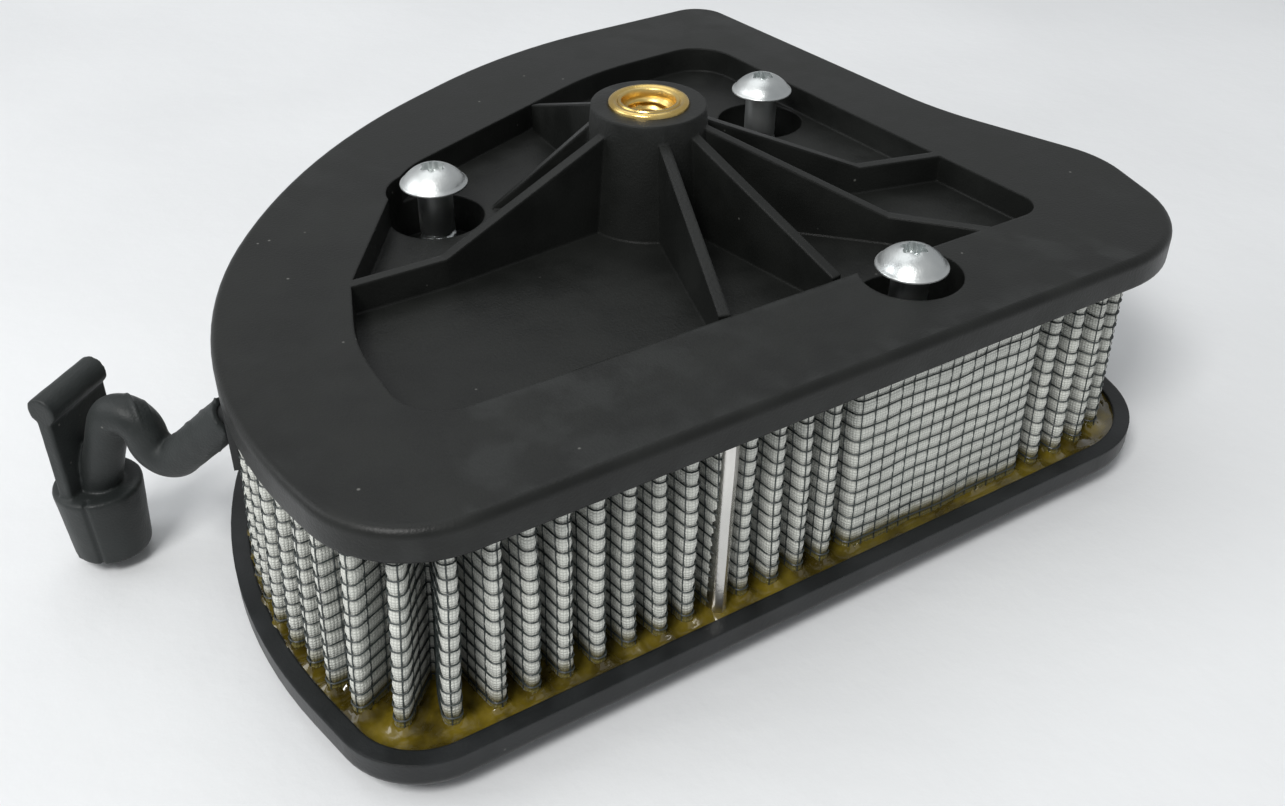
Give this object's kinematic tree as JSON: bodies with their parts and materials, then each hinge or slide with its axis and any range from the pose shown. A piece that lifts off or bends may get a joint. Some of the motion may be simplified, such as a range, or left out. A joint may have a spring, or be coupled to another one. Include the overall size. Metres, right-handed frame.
{
  "type": "motorcycle air filter",
  "caption": "Quarter-D motorcycle air filter element with pleated wire-backed gauze between a ribbed top plate and a potted pan, captive screws and a breather boot.",
  "frame": {"origin": "where the cover bolt's axis meets the seating plane under the base seal", "axes": "+Z along the cover bolt out of the top plate, +X along the straight front edge, +Y towards the round back"},
  "size_m": [0.1787, 0.1379, 0.0587],
  "materials": {
    "moulded_nylon": "satin moulded",
    "port_nylon": "satin",
    "retainer_nylon": "natural",
    "brass": "turned",
    "amber_potting": "wet gloss",
    "foam": "closed cell",
    "coated_wire": "epoxy coated",
    "gauze": "woven",
    "bright_steel": "bright",
    "zinc_steel": "zinc plated",
    "boot_rubber": "moulded"
  },
  "bodies": {
    "element": {"top_plate": "moulded_nylon", "cover_insert": "brass", "bottom_pan": "moulded_nylon", "lower_potting": "amber_potting", "upper_potting": "amber_potting", "base_seal": "foam", "outer_screen": "coated_wire", "pleated_media": "gauze", "inner_screen": "coated_wire", "splice_clip": "bright_steel", "breather_port": "port_nylon", "breather_tube": "boot_rubber", "breather_cup": "boot_rubber", "left_sleeve": "zinc_steel", "front_sleeve": "zinc_steel", "back_sleeve": "zinc_steel"},
    "left_retainer": {"left_retainer": "retainer_nylon"},
    "front_retainer": {"front_retainer": "retainer_nylon"},
    "back_retainer": {"back_retainer": "retainer_nylon"},
    "left_screw": {"left_screw": "zinc_steel"},
    "front_screw": {"front_screw": "zinc_steel"},
    "back_screw": {"back_screw": "zinc_steel"}
  },
  "joints": [
    {"name": "left_screw_travel", "type": "slide", "parent": "element", "child": "left_retainer", "axis": [0, 0, 1], "range_m": [-0.0132, 0]},
    {"name": "left_screw_spin", "type": "hinge", "parent": "left_retainer", "child": "left_screw", "pos_m": [-0.0315, 0.018, 0.0172], "axis": [0, 0, 1], "continuous": true},
    {"name": "front_screw_travel", "type": "slide", "parent": "element", "child": "front_retainer", "axis": [0, 0, 1], "range_m": [-0.0132, 0]},
    {"name": "front_screw_spin", "type": "hinge", "parent": "front_retainer", "child": "front_screw", "pos_m": [0.0178, -0.0466, 0.0172], "axis": [0, 0, 1], "continuous": true},
    {"name": "back_screw_travel", "type": "slide", "parent": "element", "child": "back_retainer", "axis": [0, 0, 1], "range_m": [-0.0132, 0]},
    {"name": "back_screw_spin", "type": "hinge", "parent": "back_retainer", "child": "back_screw", "pos_m": [0.0397, 0.0203, 0.0172], "axis": [0, 0, 1], "continuous": true}
  ]
}
